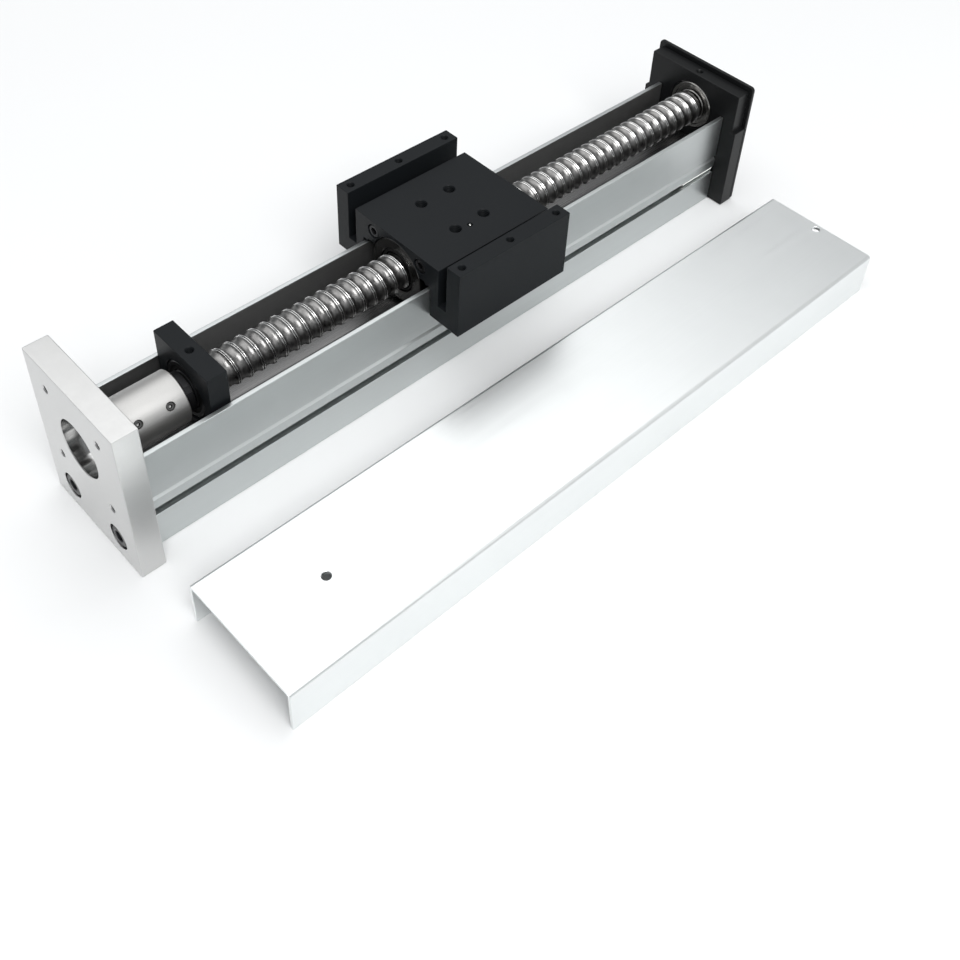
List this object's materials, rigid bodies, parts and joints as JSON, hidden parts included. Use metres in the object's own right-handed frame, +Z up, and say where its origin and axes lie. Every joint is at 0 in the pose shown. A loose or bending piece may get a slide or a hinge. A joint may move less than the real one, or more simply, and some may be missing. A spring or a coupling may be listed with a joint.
{
  "type": "ball screw assembly",
  "caption": "Ball screw linear module: a motor plate, channel base, coupling, screw, sliding carriage and end plate, with its sheet cover laid beside it.",
  "frame": {"origin": "on the underside of the extrusion, below the screw axis and close to mid length", "axes": "+X along the screw from the motor plate to the end plate, +Z up, the loose cover lies on the -Y side"},
  "size_m": [0.3131, 0.1377, 0.0676],
  "materials": {
    "machined_aluminium": "fine machined",
    "anodised_aluminium": "satin anodised",
    "black_anodised": "black anodised",
    "ground_steel": "ground",
    "black_oxide": "black oxide",
    "black_polymer": "matt"
  },
  "bodies": {
    "base": {"front_plate": "machined_aluminium", "base_profile": "anodised_aluminium", "rear_plate": "black_anodised", "bearing_block": "black_anodised", "front_bolt_near": "black_oxide", "front_bolt_far": "black_oxide", "rear_bolt_near": "ground_steel", "rear_bolt_far": "ground_steel", "block_screw_near": "black_oxide", "block_screw_far": "black_oxide", "front_bearing_outer": "ground_steel", "rear_bearing_outer": "ground_steel"},
    "screw": {"ball_screw": "ground_steel", "coupling": "machined_aluminium", "set_screw_motor_side": "black_oxide", "set_screw_screw_side": "black_oxide", "lock_nut": "black_oxide", "front_bearing_inner": "ground_steel", "rear_bearing_inner": "ground_steel"},
    "carriage": {"carriage": "black_anodised", "ball_nut": "ground_steel", "nut_wiper_front": "black_polymer", "nut_wiper_rear": "black_polymer", "nut_screw_near": "black_oxide", "nut_screw_far": "black_oxide", "grease_port": "ground_steel"},
    "cover": {"top_cover": "anodised_aluminium"}
  },
  "joints": [
    {"name": "screw_spin", "type": "hinge", "parent": "base", "child": "screw", "pos_m": [-0.1077, 0, 0.0417], "axis": [1, 0, 0], "range_deg": [-7936, 5776]},
    {"name": "carriage_slide", "type": "slide", "parent": "base", "child": "carriage", "axis": [1, 0, 0], "range_m": [-0.0802, 0.1102]},
    {"name": "cover_lift", "type": "slide", "parent": "base", "child": "cover", "axis": [0, 0, 1], "range_m": [0, 0.08]}
  ],
  "couplings": [
    {"joint": "screw_spin", "follows": "carriage_slide", "rad_per_m": -1256.6}
  ]
}
